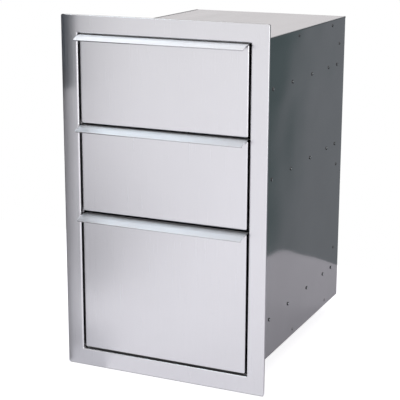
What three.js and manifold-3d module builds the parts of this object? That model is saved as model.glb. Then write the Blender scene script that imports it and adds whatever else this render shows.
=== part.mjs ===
// A built-in drawer unit for an outdoor kitchen: a sheet-metal cabinet behind a trim frame, with
// three drawers that slide out on telescopic ball slides. Millimetres. X runs to the right, Y into
// the island and Z up. The origin is the middle of the trim frame's bottom rear lip, in the plane
// that bears on the front of the island.

import * as THREE from 'three';
import { mergeVertices } from 'three/addons/utils/BufferGeometryUtils.js';
import Module from 'manifold-3d';

const wasm = await Module();
wasm.setup();

// General
const touchGap = 0.3; // between pieces that touch
const holeClearance = 0.4; // between a shank and the wall of its hole
const overrun = 2; // how far a cutting tool runs past the metal
const roundSides = 8; // sides of a screw or rivet
const holeSides = 6;
const cornerSteps = 2; // facets round the corner of a tray or frame
const bendSteps = 2; // facets round a bend in a panel
const stripBendSteps = 1; // facets round a bend in a slide

// Trim frame
const frameWidth = 432;
const frameHeight = 715;
const railWidth = 35.5;
const frameSheet = 1.2;
const frameThickness = 6; // from the face to the back of the rear lip
const lipWidth = 10; // the rear lip, turned in behind the face
const frameReturn = 30; // depth of the returns round the opening
const frameBendRadius = 1;
const frameCornerRadius = 3.5;
const openingCornerRadius = 0.6;

// Cabinet shell
const shellSheet = 1;
const shellDepth = 545; // behind the front of the island
const shellSetback = 10; // from the frame's face to the front of the shell
const shellBendRadius = 1;
const seamFlange = 25; // turned edge of the top and bottom panels
const seamRivetShares = [0.05, 0.455, 0.84]; // along a seam flange
const tabDepth = 50; // rear panel tabs
const tabHeight = 40;
const tabGapOver = 2; // from the top of a slide to the tab over it
const tabGapUnder = 6.5; // from the bottom of a slide to the tab under it
const tabRivetInset = 36; // from the back of the shell

// Screws and rivets
const slideScrew = { shankRadius: 2, headRadius: 3.6, headHeight: 1.5 };
const rivet = { shankRadius: 1.6, headRadius: 3.2, headHeight: 1 };
const headCrownShare = 0.7; // flat top of a head, of its radius
const rootShare = 0.5; // how deep a shank starts in the sheet that carries it

// Drawer fronts
const sideGap = 4.5; // between a front and the side of the opening
const bottomGap = 4.5; // below the bottom front
const lowerGap = 7; // between the bottom and middle fronts
const upperGap = 4.5; // between the middle and top fronts
const topGap = 2; // over the top front
const shallowFrontHeight = 172.5; // of the middle and top fronts
const frontRecess = 1; // behind the frame's face
const frontSheet = 1.2;
const frontDepth = 18;
const frontBendRadius = 0.8;
const frontCornerRadius = 2.4;

// Handle lip
const handleSheet = 1.2;
const handleLap = 15; // laid back over the top of the front
const handleFlat = 14; // level part in front of the face
const handleReach = 27; // from the face to the front edge
const handleSlopeDrop = 7.6; // fall of the sloping part
const handleEdge = 2.4; // height of the front edge
const handleTurn = 6; // lip turned in under the front edge
const handleBendRadius = 0.3;

// Front liner
const linerSheet = 1;
const linerDepth = 8;
const linerBendRadius = 0.8;
const linerScrewWidthShare = 0.36; // of the drawer box's width, from the middle
const linerScrewHeightShares = [0.2, 0.8]; // of the drawer box's height

// Drawer boxes
const boxSheet = 1;
const boxDepth = 490;
const boxFloorRise = 12; // above the bottom edge of the front
const boxTopDrop = 22; // below the top edge of the front
const boxRim = 8; // rim turned in round the top
const boxBendRadius = 1;
const boxCornerRadius = 6;

// Slides
const slideLength = 500;
const slideHeight = 45;
const slideThickness = 12.7;
const slideSheet = 1.2;
const slideBendRadius = 0.6;
const slideSetback = 3; // behind the drawer's front
const slideRise = 74; // centre line above the bottom edge of the front
const slideLip = 3; // lips that close the outer member's raceways
const slideLipFace = 9.6; // from the wall to the front of those lips
const slideScrewShares = [0.04, 0.19, 0.404, 0.635, 0.849, 0.961]; // along the slide
const innerRivetShares = [0.08, 0.5, 0.92]; // along the inner member
const ballRadius = 1.85;
const cageSheet = 0.8;
const cageClearance = 0.5; // between a cage and the members beside it
const cageLength = 240;
const cageBendRadius = 0.3;
const ballsPerRow = 2;
const ballEndInset = 12; // from the end of a cage to its last ball
const bumperLength = 10;
const bumperHeight = 20;

// Places worked out from the sizes above
const faceY = -frameThickness;
const openingHalfWidth = frameWidth / 2 - railWidth;
const openingBottom = railWidth - lipWidth / 2;
const openingTop = frameHeight - railWidth - lipWidth / 2;
const shellHalfWidth = openingHalfWidth - touchGap;
const shellBottom = openingBottom + touchGap;
const shellTop = openingTop - touchGap;
const shellHeight = shellTop - shellBottom;
const shellFront = faceY + shellSetback;
const liningHalfWidth = shellHalfWidth - shellSheet - touchGap; // inner face of the side panels
const backFront = shellDepth - shellSheet;
const seamPanelRear = backFront - touchGap;
const frontY = faceY + frontRecess;
const frontRear = frontY + frontDepth;
const frontHalfWidth = openingHalfWidth - sideGap;
const slideFront = frontRear + slideSetback;
const slideRear = slideFront + slideLength;
const memberRear = slideRear - bumperLength - touchGap;
const memberLength = memberRear - slideFront;
const boxHalfWidth = liningHalfWidth - slideThickness - touchGap;
const boxFront = frontRear + touchGap;
const raceway = 2 * (ballRadius + touchGap); // height of the space that the balls run in
const outerRace = slideHeight / 2 - slideSheet;
const middleHalfHeight = outerRace - raceway;
const innerRace = middleHalfHeight - slideSheet;
const innerHalfHeight = innerRace - raceway;
const outerCageWeb = slideSheet + cageClearance; // these five are distances from the wall
const outerCageReach = slideLipFace - slideSheet - cageClearance;
const middleWeb = outerCageWeb + cageSheet + cageClearance;
const middleReach = slideThickness - slideSheet - cageClearance;
const innerCageWeb = middleWeb + slideSheet + cageClearance;
const innerReach = innerCageWeb + cageSheet + cageClearance;
const innerCageReach = middleReach - cageClearance;

const topFrontBottom = openingTop - topGap - shallowFrontHeight;
const middleFrontBottom = topFrontBottom - upperGap - shallowFrontHeight;
const bottomFrontBottom = openingBottom + bottomGap;
const deepFrontHeight = middleFrontBottom - lowerGap - bottomFrontBottom;
const tabReach = (slideHeight + tabHeight) / 2;
const tabOver = slideRise + tabReach + tabGapOver;
const tabUnder = slideRise - tabReach - tabGapUnder;
const drawers = [
  { name: 'bottom', bottom: bottomFrontBottom, height: deepFrontHeight, tabRise: tabOver },
  { name: 'middle', bottom: middleFrontBottom, height: shallowFrontHeight, tabRise: tabUnder },
  { name: 'top', bottom: topFrontBottom, height: shallowFrontHeight, tabRise: tabOver },
];
const sides = [
  { name: 'left', sign: -1 },
  { name: 'right', sign: 1 },
];

// Materials
const brushedSteel = new THREE.MeshStandardMaterial({ color: 0xc8c9cc, roughness: 0.38, metalness: 1 });
const shellSteel = new THREE.MeshStandardMaterial({ color: 0x9a9ea0, roughness: 0.22, metalness: 1 });
const slideSteel = new THREE.MeshStandardMaterial({ color: 0xb4b8bc, roughness: 0.3, metalness: 1 });
const ballSteel = new THREE.MeshStandardMaterial({ color: 0xd8dadc, roughness: 0.12, metalness: 1 });
const blackRubber = new THREE.MeshStandardMaterial({ color: 0x1c1c1d, roughness: 0.8, metalness: 0 });

// Turns a closed three.js geometry into a solid for joining and cutting
function solid(geometry) {
  const bare = geometry.clone();
  bare.deleteAttribute('normal');
  bare.deleteAttribute('uv');
  const welded = mergeVertices(bare);
  return new wasm.Manifold(
    new wasm.Mesh({
      numProp: 3,
      vertProperties: new Float32Array(welded.attributes.position.array),
      triVerts: new Uint32Array(welded.index.array),
    }),
  );
}

// Turns a solid back into a three.js geometry
function geometryOf(body) {
  const mesh = body.getMesh();
  const geometry = new THREE.BufferGeometry();
  geometry.setAttribute('position', new THREE.BufferAttribute(mesh.vertProperties, 3));
  geometry.setIndex(new THREE.BufferAttribute(mesh.triVerts, 1));
  geometry.computeVertexNormals();
  return geometry;
}

// Joins extra geometries to a base and then cuts the tools out of it
function fabricate(base, { extras = [], tools = [] }) {
  const whole = extras.reduce((body, extra) => body.add(solid(extra)), solid(base));
  return geometryOf(tools.reduce((body, tool) => body.subtract(solid(tool)), whole));
}

// The closed outline of a bent sheet. The path is one face of the sheet, with the metal on its
// right, and each corner of the path becomes a round bend.
function bentSheet(path, thickness, bendRadius, steps) {
  const points = path.map(([x, y]) => new THREE.Vector2(x, y));
  const near = [];
  const far = [];
  points.forEach((point, i) => {
    const before = i > 0 ? point.clone().sub(points[i - 1]).normalize() : null;
    const after = i < points.length - 1 ? points[i + 1].clone().sub(point).normalize() : null;
    if (!before || !after) {
      const along = before ?? after;
      near.push(point);
      far.push(new THREE.Vector2(along.y, -along.x).multiplyScalar(thickness).add(point));
      return;
    }
    const turn = Math.atan2(before.cross(after), before.dot(after));
    const towardsMetal = turn < 0;
    const nearRadius = bendRadius + (towardsMetal ? thickness : 0);
    const farRadius = bendRadius + (towardsMetal ? 0 : thickness);
    const spoke = new THREE.Vector2(before.y, -before.x).multiplyScalar(Math.sign(turn));
    const tangent = nearRadius * Math.tan(Math.abs(turn) / 2);
    const centre = point.clone().addScaledVector(before, -tangent).addScaledVector(spoke, -nearRadius);
    for (let step = 0; step <= steps; step++) {
      const turned = spoke.clone().rotateAround(new THREE.Vector2(), (turn * step) / steps);
      near.push(centre.clone().addScaledVector(turned, nearRadius));
      far.push(centre.clone().addScaledVector(turned, farRadius));
    }
  });
  return [...near, ...far.reverse()];
}

// The corner points of a rounded rectangle, anticlockwise
function roundedRectangle(halfX, halfY, radius) {
  const points = [];
  for (let corner = 0; corner < 4; corner++) {
    const signX = corner === 0 || corner === 3 ? 1 : -1;
    const signY = corner < 2 ? 1 : -1;
    for (let step = 0; step <= cornerSteps; step++) {
      const angle = ((corner + step / cornerSteps) * Math.PI) / 2;
      const x = signX * (halfX - radius) + radius * Math.cos(angle);
      const y = signY * (halfY - radius) + radius * Math.sin(angle);
      points.push([x, y]);
    }
  }
  return points;
}

// Carries a sheet section round a rounded rectangle. A section point is its inset from the edge
// and its height. A floored section starts and ends on flat floors, as a tray does. Otherwise it
// closes on itself, as a frame does.
function rimGeometry({ halfX, halfY, section, radiusAt, floored }) {
  const positions = [];
  const index = [];
  for (const { x: inset, y: height } of section) {
    for (const [x, y] of roundedRectangle(halfX - inset, halfY - inset, radiusAt(inset))) {
      positions.push(x, y, height);
    }
  }
  const count = 4 * (cornerSteps + 1);
  const bands = floored ? section.length - 1 : section.length;
  for (let band = 0; band < bands; band++) {
    const here = band * count;
    const next = ((band + 1) % section.length) * count;
    for (let k = 0; k < count; k++) {
      const after = (k + 1) % count;
      index.push(here + k, here + after, next + after);
      index.push(here + k, next + after, next + k);
    }
  }
  if (floored) {
    const last = (section.length - 1) * count;
    for (let k = 1; k < count - 1; k++) {
      index.push(0, k + 1, k);
      index.push(last, last + k, last + k + 1);
    }
  }
  const geometry = new THREE.BufferGeometry();
  geometry.setAttribute('position', new THREE.Float32BufferAttribute(positions, 3));
  geometry.setIndex(index);
  geometry.computeVertexNormals();
  return geometry;
}

// A folded tray that stands on the XY plane with its open side up
function trayGeometry({ halfX, halfY, depth, rim = 0, sheet, bendRadius, cornerRadius }) {
  const floorInset = bendRadius + sheet + cornerRadius;
  const path = [
    [floorInset, 0],
    [0, 0],
    [0, depth],
  ];
  if (rim > 0) path.push([rim, depth]);
  const section = bentSheet(path, sheet, bendRadius, bendSteps);
  const radiusAt = (inset) => Math.max(cornerRadius - inset, sheet / 2);
  return rimGeometry({ halfX, halfY, section, radiusAt, floored: true });
}

// Carries an outline in X and Z along Y
function extrudeAlongY(outline, from, to) {
  const shape = new THREE.Shape(outline);
  const geometry = new THREE.ExtrudeGeometry(shape, { depth: to - from, bevelEnabled: false });
  return geometry.rotateX(Math.PI / 2).translate(0, to, 0);
}

// A screw or rivet that points along a direction. Its root is at the given place, and its head
// begins where the grip ends.
function fastener({ shankRadius, headRadius, headHeight }, grip, direction, place) {
  const profile = [
    [0, 0],
    [shankRadius, 0],
    [shankRadius, grip],
    [headRadius, grip],
    [headRadius * headCrownShare, grip + headHeight],
    [0, grip + headHeight],
  ].map(([x, y]) => new THREE.Vector2(x, y));
  const geometry = new THREE.LatheGeometry(profile, roundSides);
  geometry.applyQuaternion(new THREE.Quaternion().setFromUnitVectors(THREE.Object3D.DEFAULT_UP, direction));
  return geometry.translate(place.x, place.y, place.z);
}

// The tool that drills a fastener's hole through a sheet at the given place
function drill({ shankRadius }, direction, place) {
  const radius = (shankRadius + holeClearance) / Math.cos(Math.PI / holeSides);
  const tool = new THREE.CylinderGeometry(radius, radius, 2 * overrun, holeSides);
  tool.applyQuaternion(new THREE.Quaternion().setFromUnitVectors(THREE.Object3D.DEFAULT_UP, direction));
  return tool.translate(place.x, place.y, place.z);
}

function piece(name, geometry, material) {
  const mesh = new THREE.Mesh(geometry, material);
  mesh.name = name;
  return mesh;
}

// Places of the rivets and screws, as [depth, height] on the side panels
const seamLength = seamPanelRear - shellFront;
const seamRivetDepths = seamRivetShares.map((share) => shellFront + share * seamLength);
const seamRivetHeights = { top: shellTop - seamFlange / 2, bottom: shellBottom + seamFlange / 2 };
const tabHeights = drawers.map(({ bottom, tabRise }) => bottom + tabRise);
const tabRivetDepth = shellDepth - tabRivetInset;
const slideScrewDepths = slideScrewShares.map((share) => slideFront + share * slideLength);
const innerRivetDepths = innerRivetShares.map((share) => slideFront + share * memberLength);

// A rivet or screw that starts in a sheet inside a side panel and has its head outside it
function sideFastener(kind, sheet, sign, y, z) {
  const root = liningHalfWidth - rootShare * sheet;
  const grip = shellHalfWidth + touchGap - root;
  const outwards = new THREE.Vector3(sign, 0, 0);
  return fastener(kind, grip, outwards, new THREE.Vector3(sign * root, y, z));
}

function faceFrame() {
  const path = [
    [railWidth, frameReturn],
    [railWidth, 0],
    [0, 0],
    [0, frameThickness],
    [lipWidth, frameThickness],
  ];
  const section = bentSheet(path, frameSheet, frameBendRadius, bendSteps);
  const radiusAt = (inset) =>
    THREE.MathUtils.lerp(frameCornerRadius, openingCornerRadius, inset / railWidth);
  const halfX = frameWidth / 2;
  const halfY = frameHeight / 2;
  const mesh = piece('face_frame', rimGeometry({ halfX, halfY, section, radiusAt, floored: false }), brushedSteel);
  mesh.position.set(0, faceY, halfY - lipWidth / 2);
  mesh.rotation.x = -Math.PI / 2;
  return mesh;
}

function sidePanel({ name, sign }) {
  const length = shellDepth - shellFront;
  const panel = new THREE.BoxGeometry(shellSheet, length, shellHeight);
  const middleX = sign * (shellHalfWidth - shellSheet / 2);
  panel.translate(middleX, shellFront + length / 2, shellBottom + shellHeight / 2);
  const across = new THREE.Vector3(sign, 0, 0);
  const hole = (kind, y, z) => drill(kind, across, new THREE.Vector3(middleX, y, z));
  const tools = [
    ...seamRivetDepths.flatMap((y) => Object.values(seamRivetHeights).map((z) => hole(rivet, y, z))),
    ...tabHeights.map((z) => hole(rivet, tabRivetDepth, z)),
    ...drawers.flatMap(({ bottom }) => slideScrewDepths.map((y) => hole(slideScrew, y, bottom + slideRise))),
  ];
  return piece(`side_panel_${name}`, fabricate(panel, { tools }), shellSteel);
}

// The top or bottom panel: a sheet with flanges turned inwards and riveted to the side panels
function seamPanel(name, edge, inwards) {
  const flangeEnd = edge + inwards * seamFlange;
  const path = [
    [-liningHalfWidth, flangeEnd],
    [-liningHalfWidth, edge],
    [liningHalfWidth, edge],
    [liningHalfWidth, flangeEnd],
  ];
  if (inwards > 0) path.reverse();
  const outline = bentSheet(path, shellSheet, shellBendRadius, bendSteps);
  const extras = sides.flatMap(({ sign }) =>
    seamRivetDepths.map((y) => sideFastener(rivet, shellSheet, sign, y, seamRivetHeights[name])),
  );
  const sheet = extrudeAlongY(outline, shellFront, seamPanelRear);
  return piece(`${name}_panel`, fabricate(sheet, { extras }), shellSteel);
}

// The back panel: its side flanges are cut away to tabs that pass between the slides
function backPanel() {
  const tabFront = shellDepth - tabDepth;
  const path = [
    [liningHalfWidth, tabFront],
    [liningHalfWidth, shellDepth],
    [-liningHalfWidth, shellDepth],
    [-liningHalfWidth, tabFront],
  ].reverse();
  const outline = bentSheet(path, shellSheet, shellBendRadius, bendSteps);
  const sheet = new THREE.ExtrudeGeometry(new THREE.Shape(outline), { depth: shellHeight, bevelEnabled: false });
  sheet.translate(0, 0, shellBottom);
  const stops = [
    shellBottom - overrun,
    ...tabHeights.flatMap((z) => [z - tabHeight / 2, z + tabHeight / 2]),
    shellTop + overrun,
  ];
  const cutDepth = backFront - tabFront + overrun;
  const tools = [];
  for (let i = 0; i < stops.length; i += 2) {
    const height = stops[i + 1] - stops[i];
    const tool = new THREE.BoxGeometry(frameWidth, cutDepth, height);
    tools.push(tool.translate(0, tabFront - overrun + cutDepth / 2, stops[i] + height / 2));
  }
  const extras = sides.flatMap(({ sign }) =>
    tabHeights.map((z) => sideFastener(rivet, shellSheet, sign, tabRivetDepth, z)),
  );
  return piece('back_panel', fabricate(sheet, { extras, tools }), shellSteel);
}

// A slide: three nested channels, two ball cages between them and a rear bumper. Distances from
// the wall are measured inwards from the side panel, and heights from the slide's centre line.
function slide(drawer, { name: sideName, sign }) {
  const prefix = `slide_${drawer.name}_${sideName}`;
  const group = new THREE.Group();
  group.position.set(0, slideFront, drawer.bottom + slideRise);
  const at = ([fromWall, height]) => [sign * (liningHalfWidth - fromWall), height];
  const channel = (path, sheet, bendRadius, steps, from, to) => {
    const placed = path.map(at);
    if (sign > 0) placed.reverse();
    return extrudeAlongY(bentSheet(placed, sheet, bendRadius, steps), from, to);
  };

  const outerHalf = slideHeight / 2;
  const outerPath = [
    [slideLipFace, slideLip - outerHalf],
    [slideLipFace, -outerHalf],
    [0, -outerHalf],
    [0, outerHalf],
    [slideLipFace, outerHalf],
    [slideLipFace, outerHalf - slideLip],
  ];
  const outer = channel(outerPath, slideSheet, slideBendRadius, stripBendSteps, 0, slideLength);
  const screws = slideScrewDepths.map((y) => sideFastener(slideScrew, slideSheet, sign, y - slideFront, 0));
  group.add(piece(`${prefix}_outer`, fabricate(outer, { extras: screws }), slideSteel));

  const middlePath = [
    [middleReach, -middleHalfHeight],
    [middleWeb, -middleHalfHeight],
    [middleWeb, middleHalfHeight],
    [middleReach, middleHalfHeight],
  ];
  const middle = channel(middlePath, slideSheet, slideBendRadius, stripBendSteps, 0, memberLength);
  group.add(piece(`${prefix}_middle`, middle, slideSteel));

  const innerPath = [
    [innerReach, innerHalfHeight],
    [slideThickness, innerHalfHeight],
    [slideThickness, -innerHalfHeight],
    [innerReach, -innerHalfHeight],
  ];
  const inner = channel(innerPath, slideSheet, slideBendRadius, stripBendSteps, 0, memberLength);
  const root = liningHalfWidth - slideThickness + rootShare * slideSheet;
  const grip = root - (boxHalfWidth - boxSheet - touchGap);
  const inwards = new THREE.Vector3(-sign, 0, 0);
  const rivets = innerRivetDepths.map((y) =>
    fastener(rivet, grip, inwards, new THREE.Vector3(sign * root, y - slideFront, 0)),
  );
  group.add(piece(`${prefix}_inner`, fabricate(inner, { extras: rivets }), slideSteel));

  const cages = [
    { kind: 'outer', web: outerCageWeb, reach: outerCageReach, high: outerRace, low: middleHalfHeight },
    { kind: 'inner', web: innerCageWeb, reach: innerCageReach, high: innerRace, low: innerHalfHeight },
  ];
  const cageFront = (memberLength - cageLength) / 2;
  for (const { kind, web, reach, high, low } of cages) {
    const ballHeight = (high + low) / 2;
    const edge = ballHeight + cageSheet / 2;
    const path = [
      [reach, -edge],
      [web, -edge],
      [web, edge],
      [reach, edge],
    ];
    const strip = channel(path, cageSheet, cageBendRadius, stripBendSteps, cageFront, cageFront + cageLength);
    const ballFromWall = (web + cageSheet + reach) / 2;
    const balls = [];
    for (let i = 0; i < ballsPerRow; i++) {
      const pitch = (cageLength - 2 * ballEndInset) / (ballsPerRow - 1);
      const y = cageFront + ballEndInset + i * pitch;
      for (const height of [-ballHeight, ballHeight]) {
        const [x, z] = at([ballFromWall, height]);
        balls.push(new THREE.IcosahedronGeometry(ballRadius).translate(x, y, z));
      }
    }
    group.add(piece(`${prefix}_${kind}_cage`, fabricate(strip, { extras: balls }), ballSteel));
  }

  const bumperNear = slideSheet + touchGap;
  const bumperWidth = slideLipFace - slideSheet - bumperNear;
  const bumper = new THREE.BoxGeometry(bumperWidth, bumperLength, bumperHeight);
  const bumperX = sign * (liningHalfWidth - bumperNear - bumperWidth / 2);
  bumper.translate(bumperX, slideLength - bumperLength / 2, 0);
  group.add(piece(`${prefix}_bumper`, bumper, blackRubber));
  return group;
}

// A drawer's own pieces. Their group's origin is the middle of the front's bottom edge, in its face.
function drawerPieces({ name, bottom, height }) {
  const prefix = `drawer_${name}`;
  const group = new THREE.Group();
  group.position.set(0, frontY, bottom);

  const panHeight = height - handleSheet - touchGap;
  const pan = trayGeometry({
    halfX: frontHalfWidth,
    halfY: panHeight / 2,
    depth: frontDepth,
    sheet: frontSheet,
    bendRadius: frontBendRadius,
    cornerRadius: frontCornerRadius,
  });
  const front = piece(`${prefix}_front`, pan, brushedSteel);
  front.position.z = panHeight / 2;
  front.rotation.x = -Math.PI / 2;
  group.add(front);

  // The handle's outline runs forwards from its lap, and then down and in under the front edge
  const tipHeight = -handleSlopeDrop - handleEdge;
  const handlePath = [
    [-handleLap, 0],
    [handleFlat, 0],
    [handleReach, -handleSlopeDrop],
    [handleReach, tipHeight],
    [handleReach - handleTurn, tipHeight],
  ];
  const outline = bentSheet(handlePath, handleSheet, handleBendRadius, bendSteps);
  const handleWidth = 2 * frontHalfWidth;
  const lip = new THREE.ExtrudeGeometry(new THREE.Shape(outline), { depth: handleWidth, bevelEnabled: false });
  lip.rotateX(Math.PI / 2).rotateZ(-Math.PI / 2).translate(frontHalfWidth, 0, height);
  group.add(piece(`${prefix}_handle`, lip, brushedSteel));

  const boxBottom = boxFloorRise;
  const boxHeight = height - boxTopDrop - boxFloorRise;
  const boxStart = boxFront - frontY;
  const linerScrewPlaces = sides.flatMap(({ sign }) =>
    linerScrewHeightShares.map((share) => ({
      x: sign * linerScrewWidthShare * 2 * boxHalfWidth,
      z: boxBottom + share * boxHeight,
    })),
  );

  const linerY = frontDepth;
  const backwards = new THREE.Vector3(0, 1, 0);
  const linerTray = trayGeometry({
    halfX: frontHalfWidth - frontSheet - touchGap,
    halfY: panHeight / 2 - frontSheet - touchGap,
    depth: linerDepth,
    sheet: linerSheet,
    bendRadius: linerBendRadius,
    cornerRadius: frontCornerRadius,
  });
  linerTray.rotateX(Math.PI / 2).translate(0, linerY, panHeight / 2);
  const linerRoot = linerY - rootShare * linerSheet;
  const linerGrip = boxStart + boxSheet + touchGap - linerRoot;
  const linerScrews = linerScrewPlaces.map(({ x, z }) =>
    fastener(slideScrew, linerGrip, backwards, new THREE.Vector3(x, linerRoot, z)),
  );
  group.add(piece(`${prefix}_liner`, fabricate(linerTray, { extras: linerScrews }), shellSteel));

  const box = trayGeometry({
    halfX: boxHalfWidth,
    halfY: boxDepth / 2,
    depth: boxHeight,
    rim: boxRim,
    sheet: boxSheet,
    bendRadius: boxBendRadius,
    cornerRadius: boxCornerRadius,
  });
  box.translate(0, boxStart + boxDepth / 2, boxBottom);
  const tools = linerScrewPlaces.map(({ x, z }) =>
    drill(slideScrew, backwards, new THREE.Vector3(x, boxStart + boxSheet / 2, z)),
  );
  for (const { sign } of sides) {
    const across = new THREE.Vector3(sign, 0, 0);
    const wallX = sign * (boxHalfWidth - boxSheet / 2);
    tools.push(...innerRivetDepths.map((y) => drill(rivet, across, new THREE.Vector3(wallX, y - frontY, slideRise))));
  }
  group.add(piece(`${prefix}_box`, fabricate(box, { tools }), shellSteel));
  return group;
}

const unit = new THREE.Group();
unit.add(faceFrame());
unit.add(...sides.map(sidePanel));
unit.add(seamPanel('top', shellTop, -1));
unit.add(seamPanel('bottom', shellBottom, 1));
unit.add(backPanel());
for (const drawer of drawers) {
  unit.add(drawerPieces(drawer));
  unit.add(...sides.map((side) => slide(drawer, side)));
}

export default unit;
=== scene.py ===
import math

import bmesh
import bpy
from mathutils import Matrix, Vector


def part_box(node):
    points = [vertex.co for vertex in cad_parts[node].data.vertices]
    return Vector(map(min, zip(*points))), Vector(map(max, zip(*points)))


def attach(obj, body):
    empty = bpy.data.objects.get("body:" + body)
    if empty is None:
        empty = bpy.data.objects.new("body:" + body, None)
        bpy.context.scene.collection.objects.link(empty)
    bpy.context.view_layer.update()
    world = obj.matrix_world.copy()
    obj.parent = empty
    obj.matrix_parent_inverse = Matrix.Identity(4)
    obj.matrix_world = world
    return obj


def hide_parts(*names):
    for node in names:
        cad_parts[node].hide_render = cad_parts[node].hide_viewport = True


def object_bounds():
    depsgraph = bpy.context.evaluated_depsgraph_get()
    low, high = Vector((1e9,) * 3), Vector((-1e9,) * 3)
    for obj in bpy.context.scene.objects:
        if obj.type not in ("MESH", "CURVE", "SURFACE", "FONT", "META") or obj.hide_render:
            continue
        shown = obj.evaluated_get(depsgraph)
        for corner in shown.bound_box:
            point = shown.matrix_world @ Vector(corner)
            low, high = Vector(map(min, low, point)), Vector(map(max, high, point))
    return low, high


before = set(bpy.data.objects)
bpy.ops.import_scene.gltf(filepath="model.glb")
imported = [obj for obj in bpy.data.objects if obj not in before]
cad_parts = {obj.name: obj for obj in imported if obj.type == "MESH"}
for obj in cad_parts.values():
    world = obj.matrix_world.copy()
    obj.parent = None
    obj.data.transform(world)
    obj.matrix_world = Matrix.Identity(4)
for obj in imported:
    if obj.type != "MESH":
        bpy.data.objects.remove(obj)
cad_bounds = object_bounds()

# Units
mm = 0.001
degree = math.radians(1)

# Camera, fitted to the edges of the unit in the photograph: angles in degrees, lens and sensor in millimetres
camera_place = Vector((0.9979, -2.0232, 0.9364))
camera_azimuth = 24.459
camera_elevation = 14.284
camera_roll = 0.21
camera_lens = 108.56
camera_sensor = 36

# Trim frame
frame_sheet = 1.2 * mm
frame_thickness = 6 * mm
frame_lip = 10 * mm
frame_rail = 35.5 * mm
frame_edge_bend = 0.3 * mm
frame_opening_bend = 1.8 * mm
frame_corner = 3.5 * mm
opening_corner = 1 * mm

# Drawer fronts
front_sheet = 1.2 * mm
front_bend = 1.3 * mm
front_corner = 3 * mm

# Handles: drops are below the crest, and the turn and the lean are back from the foremost edge
handle_sheet = 0.8 * mm
handle_lap = 15 * mm
handle_shelf = 14 * mm
handle_shelf_drop = 2.2 * mm
handle_slope_drop = 7.6 * mm
handle_hem_lean = 1.2 * mm
handle_turn = 6 * mm
handle_crest_bend = 3 * mm
handle_hem_bend = 0.1 * mm
handle_end_cut = 2.2 * mm

# Drawer boxes
box_sheet = 1 * mm
box_rim = 8 * mm
box_bend = 1 * mm
box_corner = 6 * mm

# Ball cages
cage_sheet = 0.8 * mm
cage_bend = 0.3 * mm
ball_radius = 1.85 * mm
ball_pitch = 9 * mm
ball_inset = 6 * mm

# Cabinet shell and its seams
shell_sheet = 1 * mm
panel_gap = 0.3 * mm
seam_flange = 25 * mm
seam_sheet = 0.3 * mm
seam_bend = 2.1 * mm
seam_width = 3.6 * mm

# Places of screws and rivets
slide_screw_shares = (0.04, 0.19, 0.404, 0.635, 0.849, 0.961)
inner_rivet_shares = (0.08, 0.5, 0.92)
seam_rivet_shares = (0.05, 0.455, 0.84)
liner_screw_width_share = 0.36
liner_screw_height_shares = (0.2, 0.8)
tab_rivet_inset = 36 * mm
tab_rivet_offsets = {"bottom": 44.5 * mm, "middle": -49 * mm, "top": 44.5 * mm}

# Heads of screws and rivets
screw_radius = 3.7 * mm
screw_height = 1.7 * mm
rivet_radius = 3.35 * mm
rivet_height = 1.4 * mm
recess_length = 3.6 * mm
recess_width = 0.9 * mm
recess_depth = 0.9 * mm
recess_taper_share = 0.6
crown_share = 0.7
rim_share = 0.25
dome_fullness = 0.6
tiny_share = 1e-6

# Facets and shading
bend_steps = 6
corner_steps = 6
head_sides = 40
dome_rings = 5
ball_sides = 14
ball_rings = 9
smooth_angle = 32  # degrees
flat_face_weight = 100
edge_facing_share = 0.2

# Looks: a grain or a wave is given by how often it repeats in a metre along x, y and z
noise_limits = (0.3, 0.7)
noise_roughness = 0.55
noise_detail = 2.0
grain_detail = 3.0
wave_detail = 1.0
cloud_scale = 9.0
brushed_colour = (0.745, 0.74, 0.765)
mill_colour = (0.6, 0.6, 0.61)
mill_grain = (14, 3, 14)
speckled_grain = (300, 300, 300)
side_wave = 1.2 * mm
side_wave_stretch = (5, 4, 5)
# Painted shade in the gaps of the brushed steel: how far it reaches, where it starts and ends, and its
# samples
painted_gap_shade_reach = 8 * mm
gap_openness_shares = (0.3, 0.66)
gap_samples = 12
rubber_colour = (0.025, 0.025, 0.026)
rubber_scale = 2500.0
rubber_relief = 0.1 * mm
rubber_relief_share = 0.4
rubber_roughness = (0.6, 0.9)
rubber_tone_shares = (0.7, 1.3)

# Table top: its curved rear edge, a little behind the unit, shows mirrored in the cabinet's side
floor_drop = 0.5 * mm
floor_z = cad_bounds[0].z - floor_drop
table_left, table_right, table_front = -4.0, 4.0, -6.0
table_rear_edge = (
    (table_right, 0.84), (0.5, 0.84), (0.48, 0.868), (0.468, 0.918), (0.455, 0.936), (0.44, 0.935),
    (0.422, 0.921), (0.375, 0.913), (0.32, 0.891), (0.28, 0.868), (table_left, 0.862),
)
table_colour = (0.57, 0.555, 0.6)
table_glow = 0.67
table_near_glow = 0.47
table_near_reach = 1.3
table_seen_glow = 0.8
table_bright_until = -0.01
table_dull_from = 0.03

# World: angles in degrees, with azimuths from straight behind towards the right
white_colour = (1.0, 1.0, 1.0)
ambient = 0.63
edge_softness = 4
dark_end_azimuths = (-11, 52)
dark_end_elevations = (-40, 14)
dark_end_colour = (0.19, 0.201, 0.215)
dark_end_fade_elevations = (-18, -8)
dark_end_fade_shares = (0.94, 1.05)
dark_ceiling_colour = (0.07, 0.07, 0.08)
screen_colour = (0.085, 0.112, 0.116)
screen_azimuth = 18.55
screen_softness = 0.4
screen_slant = 0.145
backdrop_colour = (0.79, 0.77, 0.78)
backdrop_azimuths = (-70, 70)
backdrop_elevations = (-3, 24)

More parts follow.
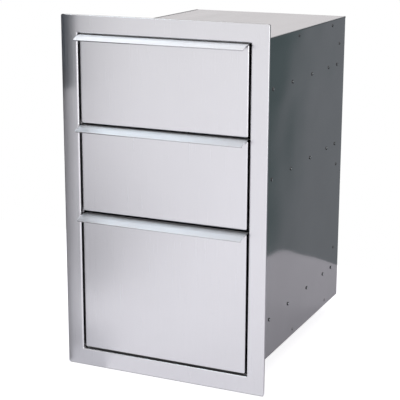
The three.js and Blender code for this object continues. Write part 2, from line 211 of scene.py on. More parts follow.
# Lamps
lamps = {
    "overhead_rear": {
        "place": (-1.0, 0.7, 2.4), "aim": (-1.0, 0.7, 0), "width": 2.6, "height": 1.5,
        "radiance": 0.65, "colour": (1, 0.99, 0.975)},
    "overhead_front": {
        "place": (-1.5, -0.8, 2.4), "aim": (-1.5, -0.8, 0), "width": 1.6, "height": 1.5,
        "radiance": 0.66, "colour": (0.98, 0.985, 1)},
    "blue_front": {
        "place": (-1.02, -0.72, 2.39), "aim": (-1.02, -0.72, 0), "width": 0.3, "height": 0.6,
        "radiance": 3.8, "colour": (0.55, 0.88, 1)},
    "right_front": {
        "place": (2.2, -1.6, 0.9), "aim": (0, 0, 0.4), "width": 1.6, "height": 1.8,
        "radiance": 1.6, "colour": white_colour},
}

# Dark cards to the left of the unit: their levels are pairs of a height and how bright the card is there
edge_card_x = -0.2195
card_rear_y = -0.001
card_tint_shares = (0.98, 0.98, 1.04)
upright_cards = {
    "far_card": {
        "x": -0.45, "near_y": -0.43, "far_y": -0.1, "bottom": floor_z, "top": 0.72,
        "levels": ((0.1, 0.1), (0.7, 0.1))},
    "low_near_card": {
        "x": -0.25, "near_y": -0.12, "far_y": card_rear_y, "bottom": floor_z, "top": 0.57,
        "levels": ((0.1, 0.4), (0.24, 0.2))},
    "edge_card": {
        "x": edge_card_x, "near_y": -0.026, "far_y": card_rear_y, "bottom": floor_z, "top": 0.6,
        "levels": ((0.1, 0.24), (0.3, 0.1), (0.5, 0.06), (0.58, 0.0))},
    "high_card": {
        "x": edge_card_x, "near_y": -0.072, "far_y": card_rear_y, "bottom": 0.56, "top": 0.73,
        "levels": ((0.56, 0.04), (0.6, 0.0)), "least": (0.0, 0.01, 0.02)},
}

# Mats on the table, side by side
mat_z = floor_z + floor_drop / 2
mat_rear_y = -0.008
mats_meet = ((-0.34, mat_rear_y), (-0.33, -0.2))
mats = {
    "mat": {
        "edge": (*mats_meet, (-0.42, -0.35), (-0.42, -0.458), (-0.53, -0.72), (-0.6, -0.85),
                 (-1.08, -1.5), (-2, -1.5), (-2, mat_rear_y)),
        "level": 0.15},
    "near_mat": {
        "edge": ((-0.13, mat_rear_y), (-0.18, -0.12), (-0.27, -0.23), *mats_meet[::-1]),
        "level": 0.66},
}

# The glossy depth that tells the first reflections from later ones
first_reflection_limit = 1.5

drawer_names = ("bottom", "middle", "top")
side_signs = {"left": -1, "right": 1}


def make_object(name, vertices, faces, material):
    """Makes a piece whose faces all point outwards, smooth but for its sharp edges."""
    mesh = bpy.data.meshes.new(name)
    mesh.from_pydata([tuple(v) for v in vertices], [], faces)
    mesh.validate()
    work = bmesh.new()
    work.from_mesh(mesh)
    bmesh.ops.recalc_face_normals(work, faces=work.faces)
    work.to_mesh(mesh)
    work.free()
    for polygon in mesh.polygons:
        polygon.use_smooth = True
    mesh.set_sharp_from_angle(angle=smooth_angle * degree)
    mesh.materials.append(material)
    piece = bpy.data.objects.new(name, mesh)
    bpy.context.scene.collection.objects.link(piece)
    return piece


def weigh_normals(piece):
    """Keeps the flats of a bent sheet flat where they meet smooth bends."""
    modifier = piece.modifiers.new("normals", "WEIGHTED_NORMAL")
    modifier.keep_sharp = True
    modifier.weight = flat_face_weight


def bent_sheet(path, thickness, bend):
    """The closed outline of a bent sheet whose one face is the path, with the metal on its right.

    The bend is one radius, or a list with one for each corner of the path."""
    points = [Vector(p) for p in path]
    bends = bend if isinstance(bend, list) else [bend] * (len(points) - 2)
    near, far = [], []
    for i, point in enumerate(points):
        before = (point - points[i - 1]).normalized() if i > 0 else None
        after = (points[i + 1] - point).normalized() if i < len(points) - 1 else None
        if before is None or after is None:
            along = before or after
            near.append(point)
            far.append(point + Vector((along.y, -along.x)) * thickness)
            continue
        turn = math.atan2(before.x * after.y - before.y * after.x, before.dot(after))
        near_radius = bends[i - 1] + (thickness if turn < 0 else 0)
        far_radius = bends[i - 1] + (0 if turn < 0 else thickness)
        spoke = Vector((before.y, -before.x)) * math.copysign(1, turn)
        tangent = near_radius * math.tan(abs(turn) / 2)
        centre = point - before * tangent - spoke * near_radius
        for step in range(bend_steps + 1):
            turned = Matrix.Rotation(turn * step / bend_steps, 2) @ spoke
            near.append(centre + turned * near_radius)
            far.append(centre + turned * far_radius)
    return near + far[::-1]


def rounded_rectangle(half_x, half_y, radius):
    points = []
    for corner in range(4):
        sign_x = 1 if corner in (0, 3) else -1
        sign_y = 1 if corner < 2 else -1
        for step in range(corner_steps + 1):
            angle = (corner + step / corner_steps) * math.pi / 2
            x = sign_x * (half_x - radius) + radius * math.cos(angle)
            y = sign_y * (half_y - radius) + radius * math.sin(angle)
            points.append((x, y))
    return points


def rim_mesh(half_x, half_y, section, radius_at, floored, place):
    """Carries a section of (inset, height) points round a rounded rectangle.

    A closed section makes a ring. A floored one is open, and its two ends get a flat floor each."""
    vertices, faces = [], []
    for inset, height in section:
        for x, y in rounded_rectangle(half_x - inset, half_y - inset, radius_at(inset)):
            vertices.append(place(x, y, height))
    count = 4 * (corner_steps + 1)
    bands = len(section) - 1 if floored else len(section)
    for band in range(bands):
        here, following = band * count, (band + 1) % len(section) * count
        for k in range(count):
            after = (k + 1) % count
            faces.append((here + k, here + after, following + after, following + k))
    if floored:
        last = (len(section) - 1) * count
        faces.append(tuple(range(count - 1, -1, -1)))
        faces.append(tuple(last + k for k in range(count)))
    return vertices, faces


def tray_mesh(half_x, half_y, depth, rim, sheet, bend, corner, place):
    """A folded tray that opens towards its local +Z."""
    path = [(bend + sheet + corner, 0), (0, 0), (0, depth)]
    if rim:
        path.append((rim, depth))
    section = bent_sheet(path, sheet, bend)
    return rim_mesh(half_x, half_y, section, lambda inset: max(corner - inset, sheet / 2), True, place)


def extruded_mesh(outline, start, end, place):
    """Carries a clockwise outline along a line, with flat ends."""
    count = len(outline)
    vertices = [place(p.x, p.y, start) for p in outline] + [place(p.x, p.y, end) for p in outline]
    faces = [(k, count + k, count + (k + 1) % count, (k + 1) % count) for k in range(count)]
    faces.append(tuple(range(count)))
    faces.append(tuple(count + k for k in range(count - 1, -1, -1)))
    return vertices, faces


def join_meshes(meshes):
    vertices, faces = [], []
    for more_vertices, more_faces in meshes:
        faces += [tuple(k + len(vertices) for k in face) for face in more_faces]
        vertices += more_vertices
    return vertices, faces


def cross_reach(angle):
    """How far a cross recess reaches from its middle in a direction."""
    along, across = abs(math.cos(angle)), abs(math.sin(angle))
    reaches = []
    for a, b in ((along, across), (across, along)):
        to_end = recess_length / 2 / max(a, tiny_share)
        to_side = recess_width / 2 / max(b, tiny_share)
        reaches.append(min(to_end, to_side))
    return max(reaches)


def head_mesh(centre, outwards, radius, height, recessed):
    """The domed head of a screw or rivet on a sheet. A screw has a cross recess."""
    outwards = Vector(outwards)
    sideways = outwards.cross(Vector((0, 0, 1))).normalized()
    upwards = outwards.cross(sideways)
    crown = radius * (crown_share if recessed else 0)
    rim = height * rim_share
    rings = [lambda angle: (radius, 0)]
    for step in range(dome_rings + 1):
        lift = math.pi / 2 * step / dome_rings
        ring = crown + (radius - crown) * math.cos(lift) ** dome_fullness
        level = rim + (height - rim) * math.sin(lift)
        if ring > tiny_share * radius:
            rings.append(lambda angle, ring=ring, level=level: (ring, level))
    if recessed:
        rings.append(lambda angle: (cross_reach(angle), height))
        rings.append(lambda angle: (cross_reach(angle) * recess_taper_share, height - recess_depth))
    vertices, faces = [], []
    for ring in rings:
        for side in range(head_sides):
            angle = 2 * math.pi * side / head_sides
            reach, level = ring(angle)
            vertices.append(centre + sideways * reach * math.cos(angle) + upwards * reach * math.sin(angle)
                            + outwards * level)
    for band in range(len(rings) - 1):
        for side in range(head_sides):
            here, after = band * head_sides + side, band * head_sides + (side + 1) % head_sides
            faces.append((here, here + head_sides, after + head_sides, after))
    vertices.append(centre + outwards * (height - (recess_depth if recessed else 0)))
    last = (len(rings) - 1) * head_sides
    faces += [(last + side, len(vertices) - 1, last + (side + 1) % head_sides) for side in range(head_sides)]
    faces.append(tuple(range(head_sides)))
    return vertices, faces


def screw_head(centre, outwards):
    return head_mesh(centre, outwards, screw_radius, screw_height, True)


def rivet_head(centre, outwards):
    return head_mesh(centre, outwards, rivet_radius, rivet_height, False)


def ball_mesh(centre):
    vertices, faces = [], []
    for ring in range(1, ball_rings):
        lift = math.pi * ring / ball_rings
        for side in range(ball_sides):
            angle = 2 * math.pi * side / ball_sides
            direction = (math.sin(lift) * math.cos(angle), math.sin(lift) * math.sin(angle), math.cos(lift))
            vertices.append(centre + ball_radius * Vector(direction))
    for ring in range(ball_rings - 2):
        for side in range(ball_sides):
            here, after = ring * ball_sides + side, ring * ball_sides + (side + 1) % ball_sides
            faces.append((here, here + ball_sides, after + ball_sides, after))
    top, bottom = len(vertices), len(vertices) + 1
    vertices += [centre + Vector((0, 0, ball_radius)), centre - Vector((0, 0, ball_radius))]
    last = (ball_rings - 2) * ball_sides
    for side in range(ball_sides):
        after = (side + 1) % ball_sides
        faces.append((top, side, after))
        faces.append((bottom, last + after, last + side))
    return vertices, faces


def feed(tree, socket, value):
    """Links an input to a socket, or gives it a value."""
    if isinstance(value, bpy.types.NodeSocket):
        tree.links.new(value, socket)
    else:
        socket.default_value = value


def node(tree, kind, settings=None, **inputs):
    """Adds a shader node. Inputs are values or the sockets that feed them."""
    made = tree.nodes.new(kind)
    for name, value in (settings or {}).items():
        setattr(made, name, value)
    for name, value in inputs.items():
        feed(tree, made.inputs[name], value)
    return made


def separate(tree, place):
    parts = node(tree, "ShaderNodeSeparateXYZ", Vector=place)
    return [parts.outputs[axis] for axis in "XYZ"]


def compute(tree, operation, *values):
    made = node(tree, "ShaderNodeMath", {"operation": operation})
    for socket, value in zip(made.inputs, values):
        feed(tree, socket, value)
    return made.outputs[0]


def remap(tree, value, from_low, from_high, to_low, to_high, smooth=False):
    course = "SMOOTHSTEP" if smooth else "LINEAR"
    made = node(tree, "ShaderNodeMapRange", {"interpolation_type": course}, Value=value)
    limits = (from_low, from_high, to_low, to_high)
    for name, limit in zip(("From Min", "From Max", "To Min", "To Max"), limits):
        feed(tree, made.inputs[name], limit)
    return made.outputs[0]


def vary(tree, pattern, middle, share):
    """Lets a number follow a noise, by a share of itself to either side."""
    return remap(tree, pattern, *noise_limits, middle * (1 - share), middle * (1 + share))


def mix_colours(tree, factor, first, second):
    made = node(tree, "ShaderNodeMix", {"data_type": "RGBA"})
    feed(tree, made.inputs[0], factor)
    for socket, colour in ((made.inputs[6], first), (made.inputs[7], second)):
        feed(tree, socket, colour if isinstance(colour, bpy.types.NodeSocket) else (*colour, 1))
    return made.outputs[2]


def scale_colour(tree, colour, factor):
    made = node(tree, "ShaderNodeVectorMath", {"operation": "SCALE"}, Vector=colour, Scale=factor)
    return made.outputs[0]


def mix_shaders(tree, factor, first, second):
    both = node(tree, "ShaderNodeMixShader", Fac=factor)
    tree.links.new(first.outputs[0], both.inputs[1])
    tree.links.new(second.outputs[0], both.inputs[2])
    return both


def noise(tree, place, scale=1.0, detail=noise_detail, stretch=(1, 1, 1)):
    stretched = node(tree, "ShaderNodeMapping", Vector=place, Scale=stretch).outputs[0]
    made = node(tree, "ShaderNodeTexNoise", Vector=stretched, Scale=scale, Detail=detail,
                Roughness=noise_roughness)
    return made.outputs["Fac"]


def seen_directly(tree, path):
    """1 for rays from the camera and rays through glass, and 0 for all others."""
    return compute(tree, "MAXIMUM", path.outputs["Is Camera Ray"], path.outputs["Is Transmission Ray"])


def new_material(name):
    material = bpy.data.materials.new(name)
    material.use_nodes = True
    tree = material.node_tree
    tree.nodes.clear()
    return material, tree, node(tree, "ShaderNodeTexCoord").outputs["Object"]


def finish_tree(tree, output_kind, shader):
    output = node(tree, output_kind)
    tree.links.new(shader.outputs[0], output.inputs[0])


def metal(name, base, roughness, grain, grain_share, cloud_share=0.02, rough_share=0.2,
          wave=0.0, wave_stretch=(1, 1, 1), anisotropy=0.0, across=None, painted_shade_reach=0.0, edge_tint=1.0):
    """Sheet metal. Its grain and faint clouds show in colour and gloss, and a wave bends its mirror image.

    With a painted shade reach, its colour gets painted shade, darker where something stands that close in
    front of it."""
    material, tree, place = new_material(name)
    clouds = noise(tree, place, scale=cloud_scale)
    fine = noise(tree, place, detail=grain_detail, stretch=grain)
    tone = compute(tree, "MULTIPLY", vary(tree, fine, 1, grain_share), vary(tree, clouds, 1, cloud_share))
    # Painted shade: ambient occlusion darkens the colour in gaps and crevices, where shade falls
    if painted_shade_reach:
        openness = node(tree, "ShaderNodeAmbientOcclusion", {"samples": gap_samples}, Distance=painted_shade_reach)
        light = remap(tree, openness.outputs["AO"], *gap_openness_shares, 0.0, 1.0, True)
        tone = compute(tree, "MULTIPLY", tone, light)
    colour = scale_colour(tree, base, tone)
    gloss = vary(tree, fine, roughness, rough_share)
    shader = node(tree, "ShaderNodeBsdfPrincipled", Roughness=gloss, Metallic=1.0, Anisotropic=anisotropy)
    tree.links.new(colour, shader.inputs["Base Color"])
    shader.inputs["Specular Tint"].default_value = (edge_tint, edge_tint, edge_tint, 1)
    if across:
        direction = node(tree, "ShaderNodeCombineXYZ", X=across[0], Y=across[1], Z=across[2])
        tree.links.new(direction.outputs[0], shader.inputs["Tangent"])
    if wave:
        swell = noise(tree, place, detail=wave_detail, stretch=wave_stretch)
        relief = node(tree, "ShaderNodeBump", Height=swell, Strength=1.0, Distance=wave)
        tree.links.new(relief.outputs[0], shader.inputs["Normal"])
    finish_tree(tree, "ShaderNodeOutputMaterial", shader)
    return material


def rubber(name, base):
    """Matt rubber with a fine grain in its colour, gloss and relief."""
    material, tree, place = new_material(name)
    grain = noise(tree, place, scale=rubber_scale)
    relief = node(tree, "ShaderNodeBump", Height=grain, Strength=rubber_relief_share, Distance=rubber_relief)
    gloss = remap(tree, grain, 0.0, 1.0, *rubber_roughness)
    shader = node(tree, "ShaderNodeBsdfPrincipled", Roughness=gloss, Normal=relief.outputs[0])
    dark, light = ([share * c for c in base] for share in rubber_tone_shares)
    tree.links.new(mix_colours(tree, grain, dark, light), shader.inputs["Base Color"])
    finish_tree(tree, "ShaderNodeOutputMaterial", shader)
    return material


# The upright brushed steel carries painted shade in its gaps
brushed = metal(
    "brushed_upright", brushed_colour, roughness=0.3, grain=(900, 900, 8), grain_share=0.009,
    cloud_share=0.012, rough_share=0.09, anisotropy=0.6, across=(1.0, 0.02, 0.03),
    painted_shade_reach=painted_gap_shade_reach)
brushed_along = metal(
    "brushed_along", brushed_colour, roughness=0.42, grain=(14, 420, 420), grain_share=0.04,
    cloud_share=0.012, rough_share=0.12, anisotropy=0.85, across=(0.0, 0.7, 0.7))
# A darker copy of the brushed steel for the handle's hem and undersides: painted shade for the dark line
# under each lip
hem_painted_shade = metal("painted_shade_hem_metal", (0.5, 0.495, 0.51), roughness=0.25, grain=(8, 900, 900), grain_share=0.015)
# A darker copy of the brushed steel for the frame's upper edge: painted shade that dims what its upward faces
# mirror
upper_edge_painted_shade = metal(
    "painted_shade_edge_metal", (0.56, 0.55, 0.56), roughness=0.2, grain=speckled_grain, grain_share=0.012,
    edge_tint=0.5)
side_sheet = metal(
    "mill_side", mill_colour, roughness=0.08, grain=mill_grain, grain_share=0.012, cloud_share=0.03,
    wave=side_wave, wave_stretch=side_wave_stretch)
seam_metal = metal(
    "seam_metal", mill_colour, roughness=0.12, grain=mill_grain, grain_share=0.012, cloud_share=0.03)
top_sheet = metal("mill_top", (0.6, 0.59, 0.595), roughness=0.2, grain=mill_grain, grain_share=0.012)
inner_sheet = metal(
    "inner_sheet", (0.64, 0.65, 0.66), roughness=0.34, grain=mill_grain, grain_share=0.02,
    cloud_share=0.03)
zinc = metal(
    "zinc_plated", (0.66, 0.68, 0.7), roughness=0.24, grain=(60, 10, 60), grain_share=0.04,
    cloud_share=0.05, rough_share=0.25)
bearing = metal("bearing_steel", (0.8, 0.81, 0.82), roughness=0.08, grain=(60, 60, 60), grain_share=0.02)
# Near-black steel for screw and rivet heads: painted shade that stands in for the dark surroundings they
# mirror
screw_painted_shade = metal(
    "screw_painted_shade", (0.08, 0.082, 0.085), roughness=0.22, grain=speckled_grain, grain_share=0.04,
    cloud_share=0.03)
# A paler copy of the head metal for the rivets of the bottom seam: a painted reflection of the pale table
# below them
seam_rivet_painted_reflection = metal(
    "seam_rivet_painted_reflection", (0.27, 0.268, 0.28), roughness=0.3, grain=speckled_grain, grain_share=0.04,
    cloud_share=0.03)
black_rubber = rubber("black_rubber", rubber_colour)


def dress(node_name, material):
    """Gives a carried-over CAD node its material."""
    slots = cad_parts[node_name].data.materials
    slots.clear()
    slots.append(material)


def second_material(piece, material, chosen):
    """Gives the chosen faces of a piece a material of their own."""
    piece.data.materials.append(material)
    for polygon in piece.data.polygons:
        if chosen(polygon):
            polygon.material_index = 1


def place_piece(piece, body, slot, *nodes):
    """Rides a piece on its body, in place of the nodes if any are named."""
    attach(piece, body)
    if nodes:
        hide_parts(*nodes)


def trim_frame():
    """The flat frame round the drawers: one folded section, whose upper edge has darker metal on its upward
    faces as painted shade.
    """
    low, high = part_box("face_frame")
    half_x, half_z = (high.x - low.x) / 2, (high.z - low.z) / 2
    middle_z = (high.z + low.z) / 2
    depth = high.y - low.y
    path = [
        (frame_rail, depth),
        (frame_rail, 0),
        (0, 0),
        (0, frame_thickness),
        (frame_lip, frame_thickness),
    ]
    section = bent_sheet(path, frame_sheet, [frame_opening_bend, frame_edge_bend, frame_edge_bend])

    def radius_at(inset):
        return frame_corner + (opening_corner - frame_corner) * inset / frame_rail

    def on_upper_edge(polygon):
        return polygon.normal.z > edge_facing_share and polygon.center.z > high.z - frame_lip

    ring = rim_mesh(half_x, half_z, section, radius_at, False,
                    lambda x, y, z: Vector((x, low.y + z, middle_z - y)))
    piece = make_object("trim_frame", *ring, brushed)
    # Painted shade: the upward faces along the upper edge get the darker metal
    second_material(piece, upper_edge_painted_shade, on_upper_edge)
    weigh_normals(piece)
    place_piece(piece, "cabinet", "stainless_brushed", "face_frame")


def drawer_front(name):
    """The pan of a drawer's front."""
    low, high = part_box(f"drawer_{name}_front")
    half_x, half_z = (high.x - low.x) / 2, (high.z - low.z) / 2
    middle_z = (high.z + low.z) / 2
    pan = tray_mesh(half_x, half_z, high.y - low.y, 0, front_sheet, front_bend, front_corner,
                    lambda x, y, z: Vector((x, low.y + z, middle_z - y)))
    piece = make_object(f"{name}_front", *pan, brushed)
    weigh_normals(piece)
    place_piece(piece, f"{name}_drawer", "stainless_brushed", f"drawer_{name}_front")


def drawer_handle(name):
    """The formed lip along a front's upper edge: a shelf, a slope and a folded hem, with curved ends."""
    front_low, front_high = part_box(f"drawer_{name}_front")
    low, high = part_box(f"drawer_{name}_handle")
    half_x = (front_high.x - front_low.x) / 2
    reach, fall = front_low.y - low.y, low.z - high.z
    path = [
        (-handle_lap, 0),
        (0, 0),
        (handle_shelf, -handle_shelf_drop),
        (reach, -handle_slope_drop),
        (reach - handle_hem_lean, fall),
        (reach - handle_turn, fall),
    ]
    bends = [handle_crest_bend, handle_crest_bend, handle_hem_bend, handle_hem_bend]

    def handle_point(u, v, x):
        cut = handle_end_cut * (v / fall) ** 2
        return Vector((x - math.copysign(cut, x), front_low.y - u, high.z + v))

    lip = extruded_mesh(bent_sheet(path, handle_sheet, bends), -half_x, half_x, handle_point)
    piece = make_object(f"{name}_handle", *lip, brushed_along)
    # Painted shade: the downward faces, hem and undersides, get the darker metal for the dark line under the
    # lip
    second_material(piece, hem_painted_shade, lambda polygon: polygon.normal.z < -edge_facing_share)
    weigh_normals(piece)
    place_piece(piece, f"{name}_drawer", "stainless_brushed", f"drawer_{name}_handle")


def drawer_box(name):
    """The tray behind a front, with its turned rim."""
    low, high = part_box(f"drawer_{name}_box")
    middle = (low + high) / 2
    half_x, half_y = (high.x - low.x) / 2, (high.y - low.y) / 2
    tray = tray_mesh(half_x, half_y, high.z - low.z, box_rim, box_sheet, box_bend, box_corner,
                     lambda x, y, z: Vector((middle.x + x, middle.y + y, low.z + z)))
    piece = make_object(f"{name}_box", *tray, inner_sheet)
    weigh_normals(piece)
    place_piece(piece, f"{name}_drawer", "stainless_inner", f"drawer_{name}_box")


def box_rivets(name):
    """The heads inside a box of the rivets that join it to its slides."""
    box_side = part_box(f"drawer_{name}_box")[1].x
    low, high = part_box(f"slide_{name}_left_inner")
    heads = []
    for sign in side_signs.values():
        for share in inner_rivet_shares:
            y = low.y + share * (high.y - low.y)
            place = Vector((sign * (box_side - box_sheet), y, (low.z + high.z) / 2))
            heads.append(rivet_head(place, (-sign, 0, 0)))
    piece = make_object(f"{name}_box_rivets", *join_meshes(heads), screw_painted_shade)
    place_piece(piece, f"{name}_drawer", "zinc_plated")


def liner_screws(name):
    """The heads inside a box of the screws that join it to the liner of its front."""
    low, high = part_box(f"drawer_{name}_box")
    heads = []
    for sign in side_signs.values():
        for share in liner_screw_height_shares:
            x = sign * liner_screw_width_share * (high.x - low.x)
            place = Vector((x, low.y + box_sheet, low.z + share * (high.z - low.z)))
            heads.append(screw_head(place, (0, 1, 0)))
    piece = make_object(f"{name}_liner_screws", *join_meshes(heads), screw_painted_shade)
    place_piece(piece, f"{name}_drawer", "zinc_plated")


def ball_cage(name, side, sign, kind):
    """A channel-shaped strip that carries two rows of balls between two members of a slide."""
    low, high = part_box(f"slide_{name}_{side}_{kind}_cage")
    middle = (low + high) / 2
    half_x = (high.x - low.x) / 2
    ball_height = (high.z - low.z) / 2 - ball_radius
    edge = ball_height + cage_sheet / 2
    path = [(-half_x, edge), (half_x, edge), (half_x, -edge), (-half_x, -edge)]
    if sign < 0:
        path = [(-u, v) for u, v in reversed(path)]
    strip = extruded_mesh(bent_sheet(path, cage_sheet, cage_bend), low.y, high.y,
                          lambda u, v, y: Vector((middle.x + u, y, middle.z + v)))
    row = high.y - low.y - 2 * ball_inset
    count = int(row / ball_pitch)
    balls = []
    for i in range(count + 1):
        y = low.y + ball_inset + i * row / count
        for z in (-ball_height, ball_height):
            balls.append(ball_mesh(Vector((middle.x - sign * cage_sheet / 2, y, middle.z + z))))
    piece = make_object(f"slide_{name}_{side}_{kind}_ball_cage", *join_meshes([strip, *balls]), bearing)
    weigh_normals(piece)
    place_piece(piece, f"{name}_{kind}_cages", "bearing_steel", f"slide_{name}_{side}_{kind}_cage")


def side_heads(side, sign):
    """The heads on a side of the cabinet, in near-black steel as painted shade. The rivets of its bottom seam
    are paler than the others, a painted reflection of the pale table below.
    """
    x = sign * shell_high.x
    screws, rivets = [], []
    for name in drawer_names:
        low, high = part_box(f"slide_{name}_{side}_outer")
        middle_z = (low.z + high.z) / 2
        for share in slide_screw_shares:
            place = Vector((x, low.y + share * (high.y - low.y), middle_z))
            screws.append(screw_head(place, (sign, 0, 0)))
        place = Vector((x, shell_high.y - tab_rivet_inset, middle_z + tab_rivet_offsets[name]))
        rivets.append(rivet_head(place, (sign, 0, 0)))
    seam_length = shell_high.y - shell_low.y - shell_sheet - panel_gap
    for z in (shell_high.z - seam_flange / 2, shell_low.z + seam_flange / 2):
        for share in seam_rivet_shares:
            place = Vector((x, shell_low.y + share * seam_length, z))
            rivets.append(rivet_head(place, (sign, 0, 0)))
    piece = make_object(f"side_screws_{side}", *join_meshes(screws), screw_painted_shade)
    place_piece(piece, "cabinet", "zinc_plated")
    piece = make_object(f"side_rivets_{side}", *join_meshes(rivets), screw_painted_shade)
    # Painted reflection: the bottom seam's rivets get the paler metal, standing in for the pale table they
    # mirror
    second_material(piece, seam_rivet_painted_reflection, lambda polygon: polygon.center.z < shell_low.z + seam_flange)
    place_piece(piece, "cabinet", "stainless_mill")


def top_seam(side, sign):
    """The rounded folded seam along an upper edge of the cabinet."""
    outline = bent_sheet([(seam_width, 0), (0, 0), (0, -seam_width)], seam_sheet, seam_bend)

    def seam_point(u, v, y):
        return Vector((sign * (shell_high.x + seam_sheet - u), y, shell_high.z + seam_sheet + v))

    strip = extruded_mesh(outline[::sign], shell_low.y, shell_high.y, seam_point)
    piece = make_object(f"top_seam_{side}", *strip, seam_metal)
    weigh_normals(piece)
    place_piece(piece, "cabinet", "stainless_mill")


# Trim frame and cabinet shell
trim_frame()
dress("side_panel_left", side_sheet)
dress("side_panel_right", side_sheet)
for name in ("top_panel", "bottom_panel", "back_panel"):
    dress(name, top_sheet)

# Drawers
for name in drawer_names:
    drawer_front(name)
    drawer_handle(name)
    drawer_box(name)
    dress(f"drawer_{name}_liner", inner_sheet)
    box_rivets(name)
    liner_screws(name)

# Slides
for name in drawer_names:
    for side, sign in side_signs.items():
        for member in ("outer", "middle", "inner"):
            dress(f"slide_{name}_{side}_{member}", zinc)
        dress(f"slide_{name}_{side}_bumper", black_rubber)
        for kind in ("outer", "inner"):
            ball_cage(name, side, sign, kind)

# Heads and seams on the cabinet's sides
shell_low, shell_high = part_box("side_panel_right")
for side, sign in side_signs.items():
    side_heads(side, sign)
for side, sign in side_signs.items():
    top_seam(side, sign)

# Camera
camera_data = bpy.data.cameras.new("camera")
camera_data.sensor_width = camera_sensor
camera_data.lens = camera_lens
camera = bpy.data.objects.new("camera", camera_data)
bpy.context.scene.collection.objects.link(camera)
turn = Matrix.Rotation(math.radians(camera_azimuth), 4, "Z")
tilt = Matrix.Rotation(math.radians(90 - camera_elevation), 4, "X")
roll = Matrix.Rotation(math.radians(camera_roll), 4, "Z")
camera.matrix_world = Matrix.Translation(camera_place) @ turn @ tilt @ roll
bpy.context.scene.camera = camera


def floor_material():
    """White to the camera apart from the object's shadow, and bright in front of the unit to its metal."""
    material, tree, place = new_material("pale_floor")
    path = node(tree, "ShaderNodeLightPath")
    y = separate(tree, place)[1]
    fore = remap(tree, y, table_bright_until, table_dull_from, 1.0, 0.0, True)
    glow_there = remap(tree, y, -table_near_reach, 0.0, table_glow, table_near_glow)
    glow_ahead = compute(tree, "MULTIPLY", fore, glow_there)
    mirrored = compute(tree, "MULTIPLY", path.outputs["Is Glossy Ray"], glow_ahead)
    seen = compute(tree, "MULTIPLY", seen_directly(tree, path), table_seen_glow)
    matt = node(tree, "ShaderNodeBsdfDiffuse", Color=(*table_colour, 1))
    glow = node(tree, "ShaderNodeEmission", Strength=compute(tree, "MAXIMUM", seen, mirrored))
    both = node(tree, "ShaderNodeAddShader")
    tree.links.new(matt.outputs[0], both.inputs[0])
    tree.links.new(glow.outputs[0], both.inputs[1])
    finish_tree(tree, "ShaderNodeOutputMaterial", both)
    return material


def table_top():
    """The pale floor."""
    edge = [(table_left, table_front), (table_right, table_front), *table_rear_edge]
    corners = [(x, y, floor_z) for x, y in edge]
    floor = make_object("floor", corners, [tuple(range(len(corners)))], floor_material())


def rise(tree, value, angle, softness, before=0.0, after=1.0):
    """Goes smoothly from one number to another about an angle in degrees."""
    return remap(tree, value, (angle - softness) * degree, (angle + softness) * degree, before, after, True)


def band(tree, value, start, end):
    """1 between two angles, with soft ends, and 0 outside them."""
    return compute(tree, "MULTIPLY", rise(tree, value, start, edge_softness),
                   rise(tree, value, end, edge_softness, 1.0, 0.0))


def window(tree, azimuth, elevation, azimuths, elevations):
    """1 within a range of azimuths and elevations, and 0 outside it."""
    return compute(tree, "MULTIPLY", band(tree, azimuth, *azimuths), band(tree, elevation, *elevations))


def mirrored_studio(tree):
    """What metal mirrors of the studio: white, with a grey backdrop and a dark end behind on the right.

    In the dark end stands a darker screen with a slanting edge, and its ceiling is darker still."""
    x, y, z = separate(tree, node(tree, "ShaderNodeTexCoord").outputs["Generated"])
    azimuth = compute(tree, "ARCTAN2", x, y)
    elevation = compute(tree, "ARCSINE", z)
    slanted = compute(tree, "ADD", azimuth, compute(tree, "MULTIPLY", elevation, screen_slant))
    fade_start, fade_end = (angle * degree for angle in dark_end_fade_elevations)
    fade = remap(tree, elevation, fade_start, fade_end, *dark_end_fade_shares)
    dark = mix_colours(tree, rise(tree, slanted, screen_azimuth, screen_softness),
                       scale_colour(tree, dark_end_colour, fade), screen_colour)
    dark = mix_colours(tree, rise(tree, elevation, 0, edge_softness), dark, dark_ceiling_colour)
    backdrop = window(tree, azimuth, elevation, backdrop_azimuths, backdrop_elevations)
    pale = mix_colours(tree, backdrop, white_colour, backdrop_colour)
    dark_end = window(tree, azimuth, elevation, dark_end_azimuths, dark_end_elevations)
    return mix_colours(tree, dark_end, pale, dark)


def surroundings():
    """Plain ambient light, white to the camera. Metal mirrors the studio in its place."""
    world = bpy.data.worlds.new("studio")
    bpy.context.scene.world = world
    world.use_nodes = True
    tree = world.node_tree
    tree.nodes.clear()
    path = node(tree, "ShaderNodeLightPath")
    plain = node(tree, "ShaderNodeBackground", Color=(*white_colour, 1), Strength=ambient)
    white = node(tree, "ShaderNodeBackground", Color=(*white_colour, 1), Strength=1.0)
    mirrored = node(tree, "ShaderNodeBackground", Color=mirrored_studio(tree), Strength=1.0)
    unseen = mix_shaders(tree, path.outputs["Is Glossy Ray"], plain, mirrored)
    finish_tree(tree, "ShaderNodeOutputWorld", mix_shaders(tree, seen_directly(tree, path), unseen, white))


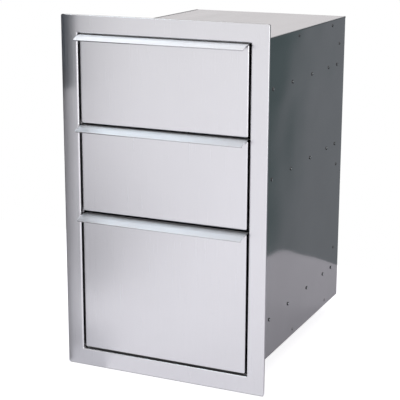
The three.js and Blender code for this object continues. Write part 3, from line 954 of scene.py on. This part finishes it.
def softbox(name, place, aim, width, height, radiance, colour):
    data = bpy.data.lights.new(name, "AREA")
    data.shape = "RECTANGLE"
    data.size, data.size_y = width, height
    data.energy = radiance * math.pi * width * height
    data.color = colour
    lamp = bpy.data.objects.new(name, data)
    bpy.context.scene.collection.objects.link(lamp)
    lamp.location = place
    lamp.rotation_euler = (Vector(aim) - Vector(place)).to_track_quat("-Z", "Y").to_euler()


def dark_card(name, corners, levels, least=(0, 0, 0)):
    """A dark card beside the set, as a photographer puts up: only the metal's first reflections see it."""
    material, tree, place = new_material(name)
    ramp = node(tree, "ShaderNodeValToRGB", Fac=separate(tree, place)[2])
    stops = ramp.color_ramp.elements
    for height, level in levels[2:]:
        stops.new(height)
    for stop, (height, level) in zip(stops, levels):
        stop.position = height
        stop.color = (*(level * share + more for share, more in zip(card_tint_shares, least)), 1)
    glow = node(tree, "ShaderNodeEmission", Color=ramp.outputs[0], Strength=1.0)
    clear = node(tree, "ShaderNodeBsdfTransparent")
    path = node(tree, "ShaderNodeLightPath")
    later = compute(tree, "GREATER_THAN", path.outputs["Glossy Depth"], first_reflection_limit)
    finish_tree(tree, "ShaderNodeOutputMaterial", mix_shaders(tree, later, glow, clear))
    card = make_object(name, corners, [tuple(range(len(corners)))], material)
    card.visible_camera = False
    card.visible_diffuse = False
    card.visible_transmission = False
    card.visible_shadow = False


def upright_card(name, x, near_y, far_y, bottom, top, levels, least=(0, 0, 0)):
    """Puts up a dark card that faces sideways."""
    corners = [(x, near_y, bottom), (x, far_y, bottom), (x, far_y, top), (x, near_y, top)]
    dark_card(name, corners, levels, least)


def flat_card(name, edge, level):
    """Lays a dark card on the table."""
    dark_card(name, [(x, y, mat_z) for x, y in edge], ((0.0, level), (1.0, level)))


# Studio
table_top()
surroundings()
for name, lamp in lamps.items():
    softbox(name, **lamp)
for name, card in upright_cards.items():
    upright_card(name, **card)
for name, mat in mats.items():
    flat_card(name, **mat)

bpy.context.scene.view_settings.view_transform = "Standard"
